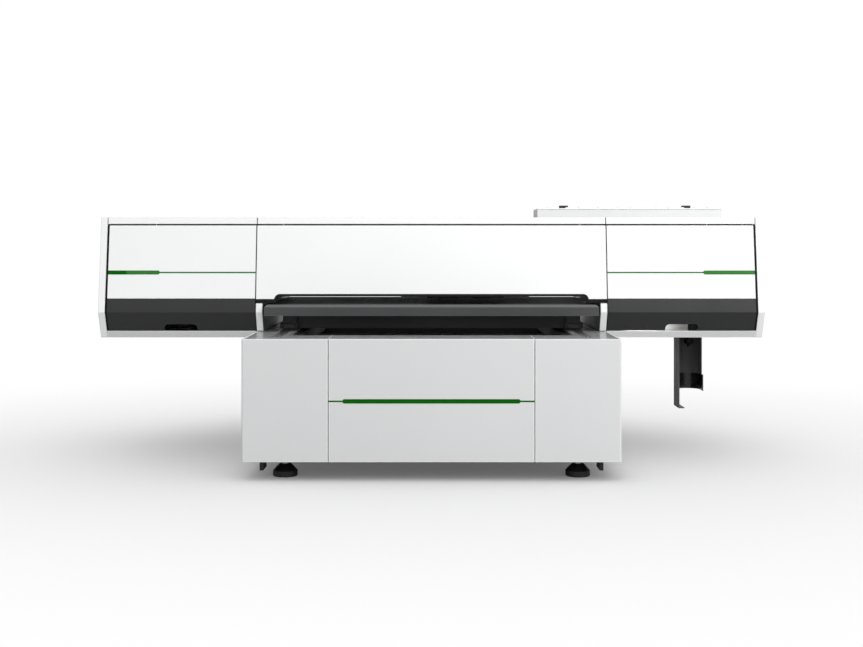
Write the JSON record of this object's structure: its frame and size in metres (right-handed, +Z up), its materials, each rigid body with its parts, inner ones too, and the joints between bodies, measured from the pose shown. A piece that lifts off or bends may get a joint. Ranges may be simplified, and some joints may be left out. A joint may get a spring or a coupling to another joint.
{
  "type": "flatbed uv printer",
  "caption": "Wide flatbed UV printer: a low cabinet with a sliding vacuum table under a fixed gantry housing, with lifting doors, a moving print carriage and an ink box.",
  "frame": {"origin": "on the floor, under the middle of the machine's bounding box", "axes": "+X to the right as the operator faces the machine, +Y from the operator towards the back, +Z up"},
  "size_m": [2, 1.334, 0.78],
  "materials": {
    "white_paint": "satin powder coat",
    "cabinet_paint": "fine textured powder coat",
    "plate_gloss": "high gloss",
    "dark_paint": "satin",
    "table_paint": "satin, dark anodised",
    "black_plastic": "matt",
    "frame_steel": "matt",
    "bright_steel": "ground",
    "aluminium": "satin",
    "head_metal": "anodised grey",
    "belt_rubber": "matt",
    "ink_plastic": "semi gloss"
  },
  "bodies": {
    "base": {"base_frame": "frame_steel", "base_left_panel": "cabinet_paint", "base_right_panel": "cabinet_paint", "front_left_panel": "cabinet_paint", "front_centre_panel": "cabinet_paint", "front_right_panel": "cabinet_paint", "base_rear_panel": "cabinet_paint", "base_top_plate": "plate_gloss", "left_table_rail": "bright_steel", "right_table_rail": "bright_steel", "left_gantry_leg": "white_paint", "right_gantry_leg": "white_paint", "gantry_beam": "aluminium", "beam_rail": "bright_steel", "left_end_cap": "white_paint", "right_end_cap": "white_paint", "left_pod_tray": "cabinet_paint", "right_pod_tray": "cabinet_paint", "left_top_cover": "white_paint", "centre_top_cover": "white_paint", "right_top_cover": "white_paint", "rear_cover": "white_paint", "ink_box": "white_paint", "ink_tank": "ink_plastic", "left_ink_lid_hinge": "black_plastic", "right_ink_lid_hinge": "black_plastic", "waste_bottle_holder": "black_plastic", "carriage_belt": "belt_rubber", "carriage_motor": "black_plastic", "table_motor": "black_plastic", "front_left_bracket": "black_plastic", "front_right_bracket": "black_plastic", "capping_station": "ink_plastic", "vacuum_blower": "aluminium"},
    "table": {"vacuum_table": "table_paint", "undercarriage": "frame_steel", "front_left_bearing": "bright_steel", "front_right_bearing": "bright_steel", "rear_left_bearing": "bright_steel", "rear_right_bearing": "bright_steel"},
    "screw": {"ball_screw": "bright_steel"},
    "carriage": {"carriage_plate": "aluminium"},
    "head": {"head_carriage": "dark_paint", "left_print_head": "head_metal", "right_print_head": "head_metal", "left_uv_lamp": "head_metal", "right_uv_lamp": "head_metal"},
    "drive_pulley": {"drive_pulley": "aluminium"},
    "idler_pulley": {"idler_pulley": "aluminium"},
    "left_door": {"left_door": "white_paint", "left_door_lower_panel": "dark_paint"},
    "right_door": {"right_door": "white_paint", "right_door_lower_panel": "dark_paint"},
    "centre_cover": {"centre_cover": "white_paint"},
    "ink_lid": {"ink_box_lid": "white_paint"},
    "cap": {"cap_plate": "black_plastic"},
    "front_left_foot": {"front_left_foot": "black_plastic"},
    "front_right_foot": {"front_right_foot": "black_plastic"},
    "rear_left_foot": {"rear_left_foot": "black_plastic"},
    "rear_right_foot": {"rear_right_foot": "black_plastic"}
  },
  "joints": [
    {"name": "table_slide", "type": "slide", "parent": "base", "child": "table", "axis": [0, 1, 0], "range_m": [-0.3, 0.3]},
    {"name": "screw_spin", "type": "hinge", "parent": "base", "child": "screw", "pos_m": [0, 0, 0.35], "axis": [0, 1, 0], "continuous": true},
    {"name": "carriage_slide", "type": "slide", "parent": "base", "child": "carriage", "axis": [1, 0, 0], "range_m": [-0.84, 0.64]},
    {"name": "head_lift", "type": "slide", "parent": "carriage", "child": "head", "axis": [0, 0, 1], "range_m": [0, 0.03]},
    {"name": "drive_pulley_spin", "type": "hinge", "parent": "base", "child": "drive_pulley", "pos_m": [-0.9, 0.15, 0.694], "axis": [0, 1, 0], "continuous": true},
    {"name": "idler_pulley_spin", "type": "hinge", "parent": "base", "child": "idler_pulley", "pos_m": [0.9, 0.15, 0.694], "axis": [0, 1, 0], "continuous": true},
    {"name": "left_door_hinge", "type": "hinge", "parent": "base", "child": "left_door", "pos_m": [-0.751, -0.3312, 0.7035], "axis": [-1, 0, 0], "range_deg": [0, 80]},
    {"name": "right_door_hinge", "type": "hinge", "parent": "base", "child": "right_door", "pos_m": [0.751, -0.3312, 0.7035], "axis": [-1, 0, 0], "range_deg": [0, 80]},
    {"name": "centre_cover_hinge", "type": "hinge", "parent": "base", "child": "centre_cover", "pos_m": [0, -0.3312, 0.7035], "axis": [-1, 0, 0], "range_deg": [0, 80]},
    {"name": "ink_lid_hinge", "type": "hinge", "parent": "base", "child": "ink_lid", "pos_m": [0.615, -0.083, 0.7735], "axis": [-1, 0, 0], "range_deg": [0, 95]},
    {"name": "cap_lift", "type": "slide", "parent": "base", "child": "cap", "axis": [0, 0, 1], "range_m": [0, 0.012]},
    {"name": "front_left_foot_turn", "type": "hinge", "parent": "base", "child": "front_left_foot", "pos_m": [-0.414, -0.58, 0], "axis": [0, 0, 1], "continuous": true},
    {"name": "front_right_foot_turn", "type": "hinge", "parent": "base", "child": "front_right_foot", "pos_m": [0.414, -0.58, 0], "axis": [0, 0, 1], "continuous": true},
    {"name": "rear_left_foot_turn", "type": "hinge", "parent": "base", "child": "rear_left_foot", "pos_m": [-0.414, 0.58, 0], "axis": [0, 0, 1], "continuous": true},
    {"name": "rear_right_foot_turn", "type": "hinge", "parent": "base", "child": "rear_right_foot", "pos_m": [0.414, 0.58, 0], "axis": [0, 0, 1], "continuous": true}
  ],
  "couplings": [
    {"joint": "screw_spin", "follows": "table_slide", "rad_per_m": -314.16},
    {"joint": "drive_pulley_spin", "follows": "carriage_slide", "rad_per_m": 51.546},
    {"joint": "idler_pulley_spin", "follows": "carriage_slide", "rad_per_m": 51.546}
  ]
}
